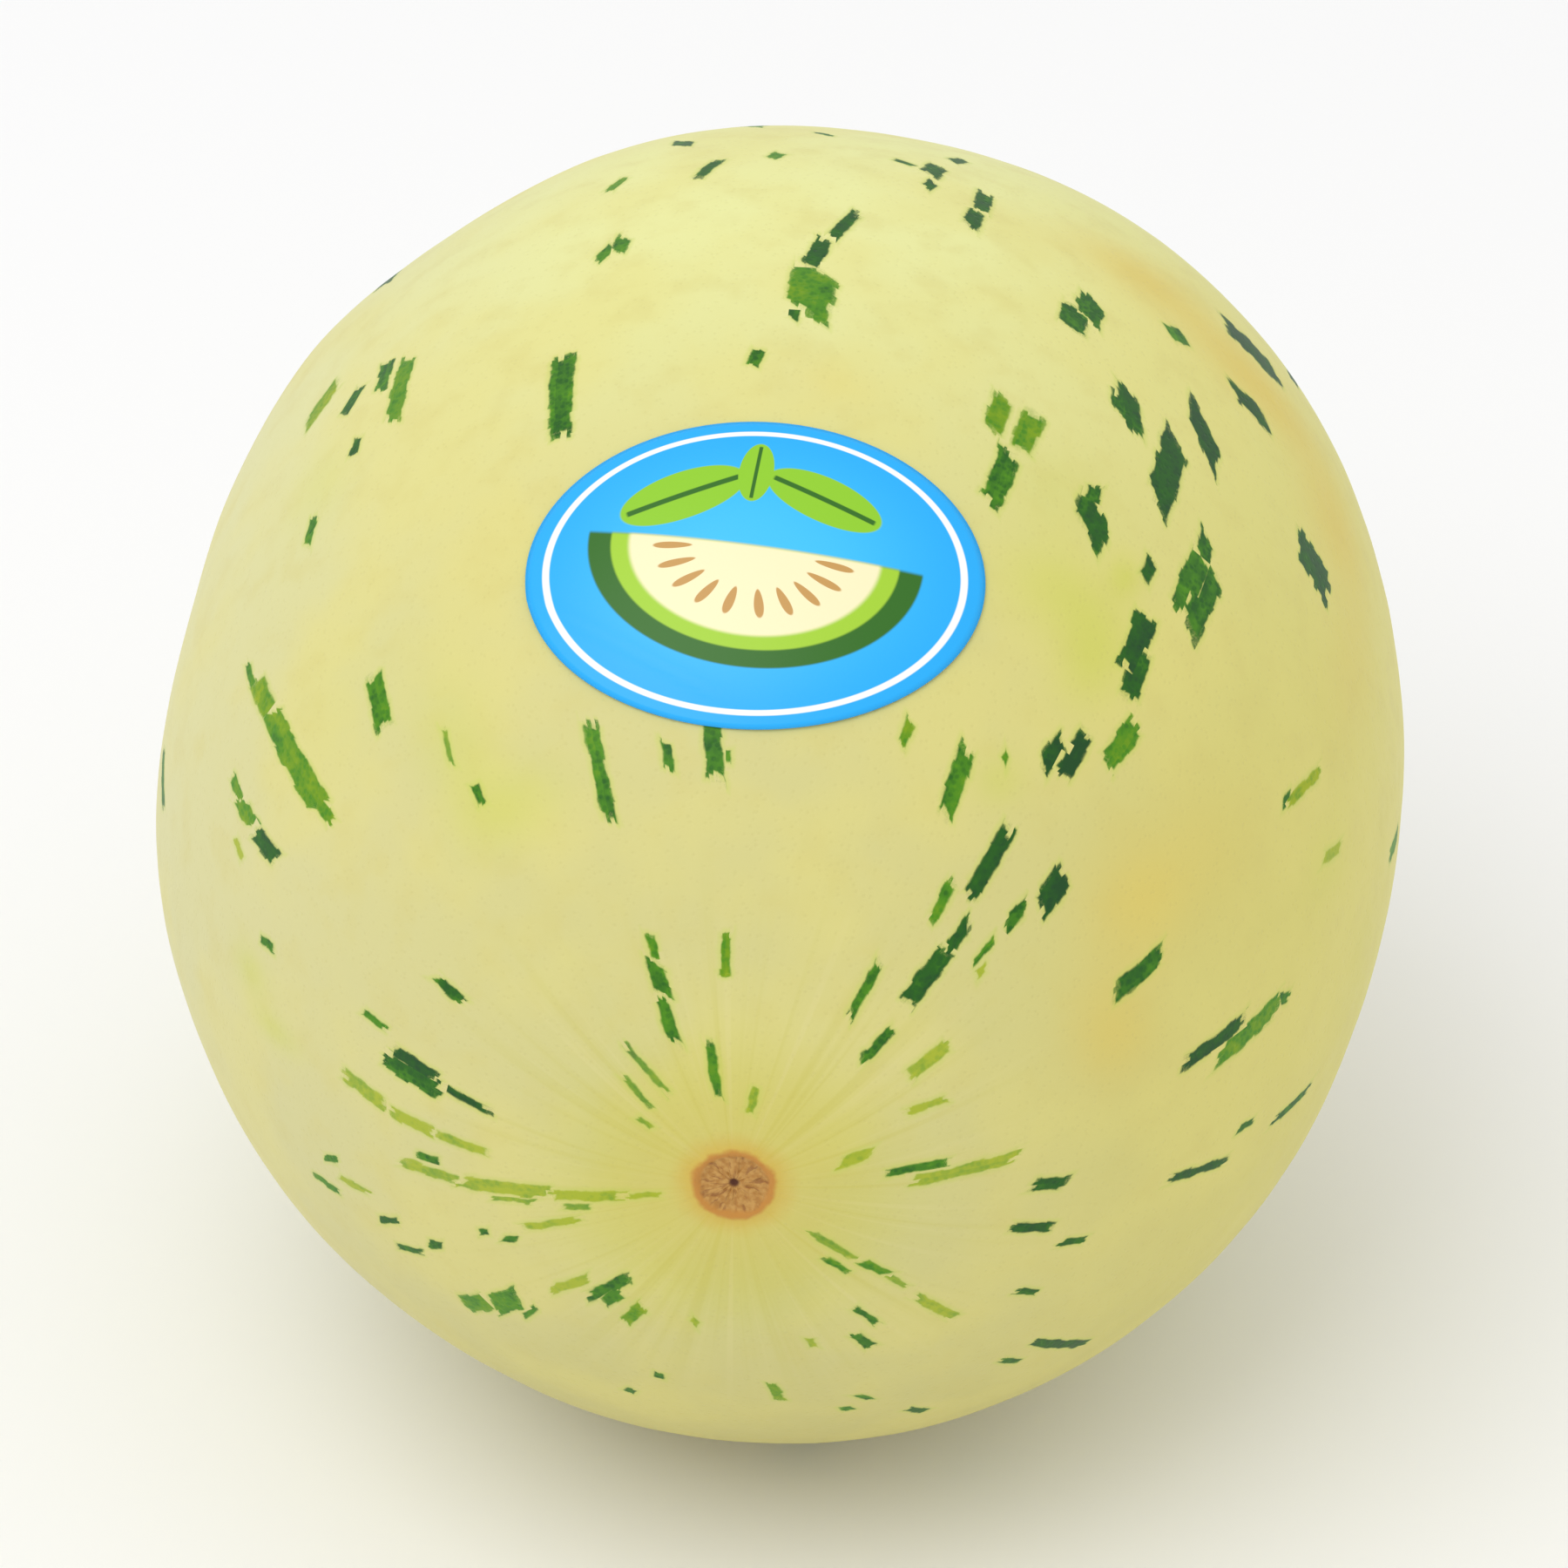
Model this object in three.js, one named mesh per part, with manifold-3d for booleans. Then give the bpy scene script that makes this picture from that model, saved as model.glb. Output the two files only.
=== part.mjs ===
// A small oval melon with a pale, flecked rind, lying on its side.
//
// Frame: millimetres, +Z up. The fruit's own axis runs along Y, with the blossom end towards -Y and the
// stem end towards +Y. The origin is on the small flat spot that the fruit rests on, straight below the
// fruit's centre.
//
// Three pieces: the fruit, which is one solid; the dried stub of its stem; and an oval paper label that is
// wrapped onto the upper side of the blossom end.
import * as THREE from "three";
import { mergeVertices } from "three/addons/utils/BufferGeometryUtils.js";
import Module from "manifold-3d";

const wasm = await Module();
wasm.setup();

// Fruit: an egg-like superellipsoid of revolution.
const GIRTH_RADIUS = 70; // half of the widest diameter, halfway along the fruit
const HALF_LENGTH = 77.4; // half of the distance between the two ends
const FULLNESS = 2.2; // exponent of the superellipsoid: 2 is a plain ellipsoid, more is fuller shoulders
const EGG = 0.02; // share by which the stem end is longer than the middle, and the blossom end shorter

// Resting spot: the fruit's underside is cut level.
const SPOT_DEPTH = 1; // how far the level spot lies inside the round form

// Blossom end: a shallow dimple round a sunken disc of cork, the blossom scar.
const BLOSSOM_DIMPLE = { depth: 0.5, spread: 8 };
const SCAR_RADIUS = 4; // of the cork disc
const SCAR_DEPTH = 0.3; // how far the disc lies below the rind round it
const SCAR_EDGE = 0.9; // width of the slope at the disc's rim

// Stem end: a wider dimple that holds the stub.
const STEM_DIMPLE = { depth: 2.2, spread: 11 };

// Broad swells and hollows that keep the fruit from being a perfect solid of revolution. Angles are in
// degrees: along is measured from the blossom end, around from the top towards +X.
const SWELLS = [
  { along: 113, around: 56, height: 0.8, spread: 16 },
  { along: 121, around: 33, height: 0.5, spread: 12 },
  { along: 124, around: 7, height: -0.6, spread: 14 },
  { along: 117, around: -37, height: -0.9, spread: 14 },
  { along: 110, around: -51, height: 0.6, spread: 10 },
  { along: 94, around: -78, height: -0.5, spread: 12 },
  { along: 80, around: -98, height: 0.9, spread: 16 },
  { along: 59, around: -147, height: -0.6, spread: 14 },
  { along: 59, around: 160, height: 0.4, spread: 16 },
  { along: 83, around: 107, height: -0.9, spread: 16 },
];

// Stem stub: a dried five-sided stalk, cut short, with a flared foot.
const STUB_LENGTH = 9;
const STUB_RADIUS = 4.2; // in the middle of its length
const STUB_FOOT_RADIUS = 6.4;
const STUB_CUT_RADIUS = 4.6; // at the cut end
const STUB_RIBS = 5;
const STUB_RIB_SHARE = 0.09; // height of a rib as a share of the radius
const STUB_LEAN = 0.8; // sideways drift of the cut end
const STUB_GAP = 0.3; // clearance between the foot and the fruit

// Label: an oval of paper.
const LABEL_WIDTH = 49; // round the fruit
const LABEL_HEIGHT = 35.5; // along the fruit
const LABEL_THICKNESS = 0.25;
const LABEL_GAP = 0.3; // clearance between the label and the fruit
const LABEL_ALONG = 52; // degrees from the blossom end, on the top of the fruit

// How finely each piece is divided.
const FRUIT_AROUND = 64;
const FRUIT_ALONG = 52;
const FRUIT_CROWDING = 0.8; // 0 spaces the rows evenly, 1 crowds them most towards the two ends
const LABEL_SECTORS = 48;
const LABEL_RINGS = 7;
const STUB_SECTORS = 40;
const STUB_ROWS = 7;

const CENTRE_HEIGHT = GIRTH_RADIUS - SPOT_DEPTH;
const BLOSSOM_POLE = new THREE.Vector3(0, -1, 0);
const STEM_POLE = new THREE.Vector3(0, 1, 0);

// The unit direction at an angle along the fruit and an angle around it, both in radians.
function directionAt(along, around) {
  const side = Math.sin(along);
  return new THREE.Vector3(side * Math.sin(around), -Math.cos(along), side * Math.cos(around));
}

// A smooth hump of height 1 at angle 0 that has all but gone at twice the spread, which is in degrees.
function hump(angle, spread) {
  return Math.exp(-((angle / THREE.MathUtils.degToRad(spread)) ** 2));
}

const swells = SWELLS.map(({ along, around, height, spread }) => ({
  centre: directionAt(THREE.MathUtils.degToRad(along), THREE.MathUtils.degToRad(around)),
  height,
  spread,
}));

// Distance from the fruit's centre to its surface in a unit direction.
function radiusTowards(direction) {
  const along = Math.abs(direction.y) / HALF_LENGTH;
  const across = Math.hypot(direction.x, direction.z) / GIRTH_RADIUS;
  let radius = (along ** FULLNESS + across ** FULLNESS) ** (-1 / FULLNESS);
  radius *= 1 + EGG * direction.y;
  for (const swell of swells) radius += swell.height * hump(direction.angleTo(swell.centre), swell.spread);

  const fromBlossom = direction.angleTo(BLOSSOM_POLE);
  radius -= BLOSSOM_DIMPLE.depth * hump(fromBlossom, BLOSSOM_DIMPLE.spread);
  radius -= STEM_DIMPLE.depth * hump(direction.angleTo(STEM_POLE), STEM_DIMPLE.spread);

  const fromScarCentre = fromBlossom * HALF_LENGTH;
  const insideScar = THREE.MathUtils.smoothstep(-fromScarCentre, -SCAR_RADIUS, SCAR_EDGE - SCAR_RADIUS);
  return radius - SCAR_DEPTH * insideScar;
}

// The point of the round form in a unit direction, raised by a height, with the fruit's centre at the origin.
function surfacePoint(direction, height = 0) {
  return direction.clone().multiplyScalar(radiusTowards(direction) + height);
}

// Moves every vertex of a geometry to where place puts it, and works the normals out again.
function reshape(geometry, place) {
  const positions = geometry.getAttribute("position");
  const vertex = new THREE.Vector3();
  for (let i = 0; i < positions.count; i++) {
    const moved = place(vertex.fromBufferAttribute(positions, i));
    positions.setXYZ(i, moved.x, moved.y, moved.z);
  }
  geometry.computeVertexNormals();
  return geometry;
}

// A geometry as a solid that can be cut, with the vertices that its faces share merged.
function solidOf(geometry) {
  const shell = new THREE.BufferGeometry();
  shell.setAttribute("position", geometry.getAttribute("position"));
  shell.setIndex(geometry.index);
  const merged = mergeVertices(shell);
  return new wasm.Manifold(
    new wasm.Mesh({
      numProp: 3,
      vertProperties: merged.getAttribute("position").array,
      triVerts: new Uint32Array(merged.index.array),
    }),
  );
}

// A solid as a geometry again.
function geometryOf(solid) {
  const { vertProperties, triVerts } = solid.getMesh();
  const geometry = new THREE.BufferGeometry();
  geometry.setAttribute("position", new THREE.BufferAttribute(vertProperties, 3));
  geometry.setIndex(new THREE.BufferAttribute(triVerts, 1));
  geometry.computeVertexNormals();
  return geometry;
}

// The fruit: a sphere whose poles are the fruit's two ends, with its rows crowded towards them, cut level
// underneath by a block.
function fruitGeometry() {
  const round = reshape(new THREE.SphereGeometry(1, FRUIT_AROUND, FRUIT_ALONG), (vertex) => {
    const even = vertex.angleTo(BLOSSOM_POLE);
    const along = even - (FRUIT_CROWDING / 2) * Math.sin(2 * even);
    const around = Math.atan2(vertex.x, vertex.z);
    return surfacePoint(directionAt(along, around));
  });
  const block = new THREE.BoxGeometry(4 * GIRTH_RADIUS, 4 * HALF_LENGTH, GIRTH_RADIUS);
  block.translate(0, 0, -CENTRE_HEIGHT - GIRTH_RADIUS / 2);
  return geometryOf(solidOf(round).subtract(solidOf(block)));
}

// The label: a thin disc, turned from its section and then wrapped onto the fruit. In the disc, x is the
// label's width, z its height and y its thickness.
function labelGeometry() {
  const section = [];
  for (let ring = 0; ring <= LABEL_RINGS; ring++) section.push(new THREE.Vector2(ring / LABEL_RINGS, 0));
  for (let ring = LABEL_RINGS; ring >= 0; ring--) {
    section.push(new THREE.Vector2(ring / LABEL_RINGS, LABEL_THICKNESS));
  }
  const disc = new THREE.LatheGeometry(section, LABEL_SECTORS);

  const middle = directionAt(THREE.MathUtils.degToRad(LABEL_ALONG), 0);
  const right = new THREE.Vector3(1, 0, 0);
  const up = new THREE.Vector3().crossVectors(middle, right);
  const middleRadius = radiusTowards(middle);
  return reshape(disc, (vertex) => {
    const across = (vertex.x * LABEL_WIDTH) / 2;
    const towardsTop = (-vertex.z * LABEL_HEIGHT) / 2;
    const distance = Math.hypot(across, towardsTop);
    if (distance === 0) return surfacePoint(middle, LABEL_GAP + vertex.y);
    const heading = right.clone().multiplyScalar(across / distance);
    heading.addScaledVector(up, towardsTop / distance);
    const turn = distance / middleRadius;
    const direction = middle.clone().multiplyScalar(Math.cos(turn));
    direction.addScaledVector(heading, Math.sin(turn));
    return surfacePoint(direction.normalize(), LABEL_GAP + vertex.y);
  });
}

// Radius of the stub at a share of its length, from the foot to the cut end.
function stubRadius(share) {
  const foot = (STUB_FOOT_RADIUS - STUB_RADIUS) * (1 - share) ** 4;
  const cut = (STUB_CUT_RADIUS - STUB_RADIUS) * share ** 4;
  return STUB_RADIUS + foot + cut;
}

// The stub: a turned stalk, ribbed and leaning a little, that stands on its foot at y = 0.
function stubGeometry() {
  const section = [new THREE.Vector2(0, 0)];
  for (let row = 0; row <= STUB_ROWS; row++) {
    const share = row / STUB_ROWS;
    section.push(new THREE.Vector2(stubRadius(share), share * STUB_LENGTH));
  }
  section.push(new THREE.Vector2(0, STUB_LENGTH));
  const stalk = new THREE.LatheGeometry(section, STUB_SECTORS);
  return reshape(stalk, (vertex) => {
    const rib = 1 + STUB_RIB_SHARE * Math.cos(STUB_RIBS * Math.atan2(vertex.x, vertex.z));
    const lean = STUB_LEAN * (vertex.y / STUB_LENGTH) ** 2;
    return vertex.set(vertex.x * rib + lean, vertex.y, vertex.z * rib);
  });
}

// The furthest that the fruit reaches along +Y under the stub's foot. The dimple is round here, so one
// line of points from the middle of the foot to its edge is enough.
function stubSeat() {
  const footEdge = (STUB_FOOT_RADIUS * (1 + STUB_RIB_SHARE)) / HALF_LENGTH;
  let furthest = 0;
  for (let row = 0; row <= STUB_ROWS; row++) {
    const along = Math.PI - (footEdge * row) / STUB_ROWS;
    furthest = Math.max(furthest, surfacePoint(directionAt(along, 0)).y);
  }
  return furthest;
}

function piece(name, geometry, color, roughness) {
  const mesh = new THREE.Mesh(geometry, new THREE.MeshStandardMaterial({ color, roughness, metalness: 0 }));
  mesh.name = name;
  return mesh;
}

const fruit = piece("melon_fruit", fruitGeometry(), 0xe6e2a6, 0.45);

const label = piece("oval_label", labelGeometry(), 0x3fb6f7, 0.4);

const stub = piece("stem_stub", stubGeometry(), 0x8c7f55, 0.85);
stub.position.y = stubSeat() + STUB_GAP;

const melon = new THREE.Group();
melon.position.z = CENTRE_HEIGHT;
melon.add(fruit, label, stub);

const part = new THREE.Group();
part.add(melon);

export default part;
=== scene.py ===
"""The looks of a small oval melon with a pale, flecked rind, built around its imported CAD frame."""
import math

import bpy
import numpy as np
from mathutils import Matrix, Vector, noise


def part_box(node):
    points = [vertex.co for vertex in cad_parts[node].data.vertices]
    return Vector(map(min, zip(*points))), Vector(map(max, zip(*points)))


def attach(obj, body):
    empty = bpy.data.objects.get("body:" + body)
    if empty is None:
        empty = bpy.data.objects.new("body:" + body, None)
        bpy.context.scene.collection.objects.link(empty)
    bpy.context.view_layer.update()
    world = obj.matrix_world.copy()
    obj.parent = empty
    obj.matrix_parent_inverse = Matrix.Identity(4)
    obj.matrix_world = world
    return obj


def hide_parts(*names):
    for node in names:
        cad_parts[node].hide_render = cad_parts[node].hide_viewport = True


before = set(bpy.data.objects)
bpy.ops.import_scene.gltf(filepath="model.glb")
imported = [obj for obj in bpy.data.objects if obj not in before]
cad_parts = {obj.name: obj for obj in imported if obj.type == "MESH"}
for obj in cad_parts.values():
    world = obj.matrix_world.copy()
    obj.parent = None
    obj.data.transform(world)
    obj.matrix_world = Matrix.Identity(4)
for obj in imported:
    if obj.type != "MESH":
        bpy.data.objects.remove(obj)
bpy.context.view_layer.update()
rind_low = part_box("melon_fruit")[0]

MM = 0.001  # sizes below are in millimetres, and Blender's are in metres

# The fruit's form, as the CAD makes it. Angles along the fruit are in degrees from the blossom end, and
# angles around it in degrees from the top towards +X.
GIRTH_RADIUS = 70
HALF_LENGTH = 77.4
FULLNESS = 2.2
EGG = 0.02
SPOT_DEPTH = 1
SPOT_EASE = 0.5  # height over which the level spot turns into the round form
BLOSSOM_DIMPLE = (0.5, 8)  # depth, spread in degrees
STEM_DIMPLE = (2.2, 11)
SCAR_RADIUS = 4
SWELLS = [  # along, around, height, spread
    (113, 56, 0.8, 16), (121, 33, 0.5, 12), (124, 7, -0.6, 14), (117, -37, -0.9, 14), (110, -51, 0.6, 10),
    (94, -78, -0.5, 12), (80, -98, 0.9, 16), (59, -147, -0.6, 14), (59, 160, 0.4, 16),
    (83, 107, -0.9, 16),
]
CENTRE = Vector((0, 0, rind_low.z + (GIRTH_RADIUS - SPOT_DEPTH) * MM))

# How finely the rind is divided, and how far its rows crowd towards the two ends.
RIND_COLUMNS = 320
RIND_ROWS = 280
RIND_CROWDING = 0.7

# The camera: its direction from the fruit, its distance and its lens.
VIEW_AZIMUTH = 4
VIEW_ELEVATION = 34
VIEW_DISTANCE = 0.85
VIEW_LENS = 172.4

# The studio, in metres and watts: one wide soft light, an even white world and a pale floor.
KEY_PLACE = (-0.5, -0.7, 1.5)
KEY_SIZE = 1.2
KEY_POWER = 9
WORLD_STRENGTH = 0.85
FLOOR_HALF_SIZE = 6

# The flecks that the camera sees. Each is a streak between two places on the rind:
# along and around at its end nearer the blossom, along and around at its further end, width, tint.
# Tint runs from 0, deep green, to 1, lime.
FLECKS = [
    # top
    (115, -12, 117.5, -12, 2.6, 0.2), (104, -9, 108.5, -7.3, 1.6, 0.25),
    (108.5, -2.6, 110, -1.6, 1.8, 0.5), (104.5, -17.6, 107.5, -16.2, 1.2, 0.5),
    (90.5, -17, 93, -15.6, 1.4, 0.4), (91.5, -15.2, 94, -14.6, 2, 0.4), (66.5, -19.3, 77, -19, 2.8, 0.35),
    (72.6, -1.6, 74.5, -1.1, 1.3, 0.35), (79.5, 2.6, 87, 3.2, 5.6, 0.5), (86.5, 2.4, 92, 3.6, 2.2, 0.2),
    (91.5, 3.9, 97.4, 6.2, 1.6, 0.15), (78.8, 1.4, 81, 1.8, 1.4, 0.3), (118.5, 1.8, 119.5, 1.8, 2.4, 0.3),
    (110, 11, 111.5, 8.8, 0.8, 0.3), (115, 14.6, 117, 16, 2, 0.15), (108.5, 12.2, 112, 13.4, 2.6, 0.1),
    (105, 12, 107, 12.8, 1.6, 0.15), (98.8, 16.3, 103, 17, 2.2, 0.1), (102.5, 17.2, 108, 17.8, 2, 0.2),
    # upper right
    (87.8, 26.6, 92, 27, 3.6, 0.25), (90.6, 28, 94.8, 28.4, 3.4, 0.2), (96, 38.3, 98, 36.6, 2.6, 0.35),
    (105, 48.5, 109, 46.8, 9, 0), (93.6, 47.6, 96.8, 45.6, 4.6, 0), (81.8, 41.6, 87, 41.3, 4.8, 0.05),
    (71, 38, 81.2, 38.4, 4, 0.1), (77.8, 34, 83.7, 32.6, 2.8, 0.15), (79.5, 32.2, 82, 32, 2, 0.15),
    (69.7, 20.8, 74.7, 21.2, 2.4, 0.6), (68.7, 23.7, 74.3, 24.4, 2.8, 0.6),
    (61.8, 22, 68.7, 22.8, 2.8, 0.35), (63.5, 32, 67.5, 32.2, 4.8, 0.2),
    (66.5, 31.6, 69.3, 31.6, 1.8, 0.2), (62.8, 39, 65.5, 39, 1.5, 0.15), (62.2, 43.4, 70, 43.8, 3.2, 0.3),
    (61.6, 45.2, 69.4, 45.8, 3.6, 0.3), (69, 44.2, 72.3, 43.8, 2, 0.2), (80, 57.8, 85, 57, 7, 0.1),
    (76, 86, 82, 87, 2, 0.4),
    # right
    (52, 42.4, 57, 41.6, 2.6, 0.2), (54, 41, 60.3, 40.5, 3.2, 0.1), (46.3, 43.9, 51, 44.6, 2.6, 0.5),
    (43, 39.7, 47.6, 40, 2.2, 0), (42.6, 37.2, 45.8, 38, 2.2, 0), (35, 28.6, 41.5, 27.7, 2, 0.4),
    (39.2, 19.8, 41.4, 20.2, 1.2, 0.55), (41.5, 32.5, 42.2, 32.5, 0.7, 0.5),
    (58.5, 65.4, 65, 67.2, 1.2, 0.85), (58, 65, 59.4, 65.3, 1, 0.3), (30.6, 37.6, 37.4, 37.3, 1.9, 0.1),
    (27.6, 34.4, 31.4, 34.1, 1.1, 0.5), (30.7, 45.2, 33.2, 45.6, 1.4, 0.25),
    (33.6, 47.8, 37.2, 47.4, 2.8, 0.05), (21, 39.6, 27, 39.7, 2.2, 0.2),
    (26, 39.8, 29.5, 39.9, 1.5, 0.15), (17.8, 30.3, 23.2, 30, 0.9, 0.35),
    (15.4, 40.4, 19.2, 41.5, 1.1, 0.3), (26.8, 45, 29.6, 45.2, 0.5, 0.5), (34, 66, 39.8, 65.7, 2.2, 0.3),
    (38.3, 82.7, 46, 82, 1.8, 0.1), (42, 84.8, 50.5, 83.6, 2.6, 0.55), (49.5, 83.2, 51.7, 84, 1.6, 0.3),
    (45.2, 97.7, 47.5, 97.7, 0.9, 0.3), (50.5, 100, 57, 99.5, 1.1, 0.2),
    (24, 95.2, 27.4, 95.8, 1.7, 0.15), (23, 105.6, 27.3, 106, 1.4, 0.05),
    (28.5, 109.8, 31, 109.4, 0.9, 0.2), (37.4, 100.8, 45, 101.8, 1.2, 0.1),
    (27.2, 121.8, 29.5, 121.6, 1, 0.25), (34.5, 133, 43, 133.5, 1.6, 0.1),
    (33.8, 138.4, 36.2, 138, 1.1, 0.3), (12, 84, 17.3, 84, 0.9, 0.4),
    # below the blossom end
    (12.8, 127.2, 15.8, 127.6, 1, 0.5), (10.2, 135, 12.8, 134.5, 0.7, 0.5),
    (16.2, 144, 19.6, 143.5, 0.8, 0.35), (19.2, 150.2, 22, 149.5, 1.3, 0.3),
    (28.6, 160, 30.4, 158.6, 0.8, 0.35), (30.6, 163.4, 31.8, 163, 1.2, 0.35),
    (35, 156, 38, 154.5, 1.4, 0.2), (24, 173.5, 27.6, 172.8, 1.1, 0.7),
    (24.5, -164.5, 25.6, -164.5, 1.1, 0.3), (29.2, -161.5, 30.2, -161, 1.1, 0.3),
    (13.4, -141, 18.6, -138.5, 1.6, 0.3), (15.5, -143, 17.8, -142.6, 1.8, 0.4),
    (15.6, -151.5, 18.8, -150.5, 1.6, 0.7), (28, -130.3, 31.5, -130.5, 3, 0.55),
    (24.3, -131.5, 28.3, -131.6, 3.4, 0.45), (23.8, -135, 26, -136, 0.7, 0.4),
    (31.5, -112, 34.3, -112.5, 0.9, 0.25), (28, -116.5, 29.7, -116.5, 1.2, 0.25),
    (31, -118.5, 34.2, -117.6, 1, 0.25), (22.2, -113, 23.2, -113, 0.9, 0.35),
    (19.8, -115.5, 21.3, -115, 0.8, 0.35),
    # left
    (36.5, -103, 38.4, -103.5, 1, 0.45), (38, -109.5, 41.5, -108, 1, 0.4),
    (24.4, -79.2, 30.8, -78.8, 2.6, 0.3), (25.5, -77, 30, -76.2, 1.6, 0.1),
    (20, -78.4, 25.6, -77.6, 0.9, 0.1), (24.8, -96, 27, -95.5, 1, 0.4),
    (26, -59.3, 29.2, -59.4, 1.1, 0.3), (31, -73.8, 33.6, -73.8, 0.7, 0.4),
    (44.4, -76.5, 46.4, -76.9, 1, 0.4), (44.7, -57, 48, -57.2, 1.6, 0.6),
    (46.5, -57.3, 58.5, -57.8, 3.4, 0.6), (57, -58, 62.5, -58.3, 2.8, 0.65),
    (61.5, -59, 65.2, -59, 1, 0.5), (47.2, -44.6, 52.8, -43.6, 2.6, 0.45),
    (52.3, -67.5, 55.5, -67.3, 2.4, 0.6), (55, -67.2, 58.3, -66.8, 1.2, 0.5),
    (47.6, -67, 52, -67.6, 2.2, 0.15), (37.2, -36.7, 39, -36.7, 0.9, 0.35),
    (77.8, -36.9, 86.6, -35.5, 2.6, 0.5), (83.6, -38.6, 88.5, -38, 2.2, 0.35),
    (84.5, -43.2, 87.3, -41.2, 2, 0.2), (88.5, -49, 92, -44.6, 3, 0.75),
    (76.9, -41.6, 79.2, -41, 1.2, 0.2), (70, -48, 73, -46.6, 1.6, 0.5), (72, -83, 78, -80, 2, 0.35),
    # between the label and the blossom end
    (31.9, -19.5, 40.3, -19.4, 1.6, 0.4), (35.1, -9.9, 37.6, -10.1, 0.9, 0.4),
    (34, -3.6, 39.5, -4.2, 1.9, 0.3), (35.6, -2.2, 36.6, -2.2, 0.8, 0.4), (13.6, -20, 18, -19, 1.3, 0.4),
    (17.5, -18.7, 20.8, -18.2, 1.9, 0.4), (20.5, -18, 22.8, -17.6, 0.9, 0.5),
    (18.8, -2.4, 22.3, -2.2, 1, 0.65), (8.3, -7.8, 13.7, -8.4, 0.9, 0.45),
]

# Faint and lime streaks, listed in the same way, through which the rind shows.
FAINT_FLECKS = [
    (17, 54, 21.3, 53.5, 1.5, 0.85), (15, 63, 18.8, 65.5, 0.8, 0.9), (14, 88.8, 23, 87, 1.5, 0.85),
    (26.4, 47, 27.4, 47.2, 0.9, 0.95), (7.6, 126, 12.3, 128, 0.8, 0.7),
    (15.4, 128.2, 17.8, 129, 0.6, 0.8), (19.2, 130.6, 24.2, 132, 1.3, 0.85),
    (8.5, 74, 11.5, 73, 1.2, 0.95), (16.3, -133.5, 20.8, -132, 1.3, 0.9),
    (15, -167.5, 16, -167.5, 0.9, 0.85), (18, 161, 19.4, 161, 0.8, 0.9), (20, -90, 25, -89.2, 1, 0.9),
    (24.8, -89.2, 29.5, -88.2, 1.5, 0.9), (29.5, -88, 34.6, -86, 1.8, 0.85),
    (23, -99.5, 28.8, -98.3, 1.5, 0.8), (15, -100, 23.5, -99.6, 1.8, 0.9),
    (8.8, -101.5, 15.5, -100.4, 1.3, 0.95), (5.8, -103, 9, -102, 0.6, 0.95),
    (16.3, -103.5, 20.6, -103, 0.6, 0.7), (12, -106, 14.4, -105, 0.6, 0.6),
    (33.8, -107.5, 37.5, -106, 0.9, 0.85), (9.6, -31.5, 15.4, -34.8, 0.6, 0.5),
    (9.6, -43, 13, -42.5, 0.5, 0.5), (8.3, -52, 9.8, -52, 0.5, 0.6), (7, 10, 9.6, 10.5, 0.8, 0.8),
    (41.3, -38.3, 44.6, -37.6, 0.4, 0.6), (52, -71.5, 54, -71, 0.8, 1), (13, -111, 19, -112, 0.8, 0.95),
    (60, 74, 64, 75.5, 1.4, 0.95),
]
FAINT_STRENGTH = 0.85
FLECK_MARGIN = 0.14  # added all round, to make up for what the ragged edges take away
FLECK_SLANT = -0.5  # how far a fleck's ends slope from one side to the other
FLECK_SLANT_SPREAD = 0.35

# The far side of the fruit has flecks of the same kinds in places drawn at random.
HIDDEN_FLECKS = 120
FLECK_SEED = 11
HIDDEN_BELOW = 0.02  # cosine of the angle to the camera's direction below which the rind is out of sight

# Soft stains in the rind: along, around, spread along, spread around (all in degrees), strength.
LIME_STAINS = [
    (57, 32, 4, 6, 0.8), (53, 37, 4, 3, 0.8), (62, 37, 2, 1.5, 0.9), (66, 28, 5, 6, 0.35),
    (42, -37, 6, 3.5, 0.55), (36, -33, 3, 5, 0.6), (47, -82, 2.5, 2, 0.7), (43, -87, 3, 1.5, 0.7),
    (52, -48, 6, 10, 0.15), (76, -46, 5, 4, 0.35), (9, 60, 4, 40, 0.35), (12, -150, 5, 25, 0.3),
    (61, 75, 4, 3, 0.4), (40, 33, 2, 2, 0.6), (120, -140, 9, 12, 0.4), (140, 60, 10, 20, 0.3),
    (95, 150, 8, 9, 0.4),
]
WARM_STAINS = [
    (104, 34, 5, 8, 0.9), (100, 48, 5, 8, 1), (93, 60, 7, 6, 0.8), (80, 66, 10, 5, 0.4),
    (40, 58, 5, 5, 0.6), (33, 71, 4, 5, 0.65), (71, 5, 3, 4, 0.25), (58, -10, 10, 20, 0.15),
    (48, 60, 6, 6, 0.3), (130, 120, 10, 14, 0.6), (150, -60, 8, 30, 0.5), (90, 180, 26, 20, 0.9),
]

# The label: its size as in the CAD, and the paper's thickness and lift.
LABEL_HALF_WIDTH = 24.5
LABEL_HALF_HEIGHT = 17.75
LABEL_ALONG = 52
LABEL_THICKNESS = 0.25
LABEL_LIFT = 0.35  # of its upper face over the rind
LABEL_RINGS = 30
LABEL_COLUMNS = 120

# The dried stem at the far end, as in the CAD.
STUB_LENGTH = 9
STUB_RADIUS = 4.2
STUB_FOOT = 6.4
STUB_CUT = 4.6
STUB_RIBS = 5
STUB_RIB_SHARE = 0.09
STUB_LEAN = 0.8
STUB_ROWS = 40
STUB_COLUMNS = 100
STUB_CUT_RINGS = 8


# ---- The fruit's form ----

def direction_at(along, around):
    """Unit directions at angles in radians along and around the fruit."""
    side = np.sin(along)
    return np.stack([side * np.sin(around), -np.cos(along) * np.ones_like(around), side * np.cos(around)],
            -1)


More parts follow.
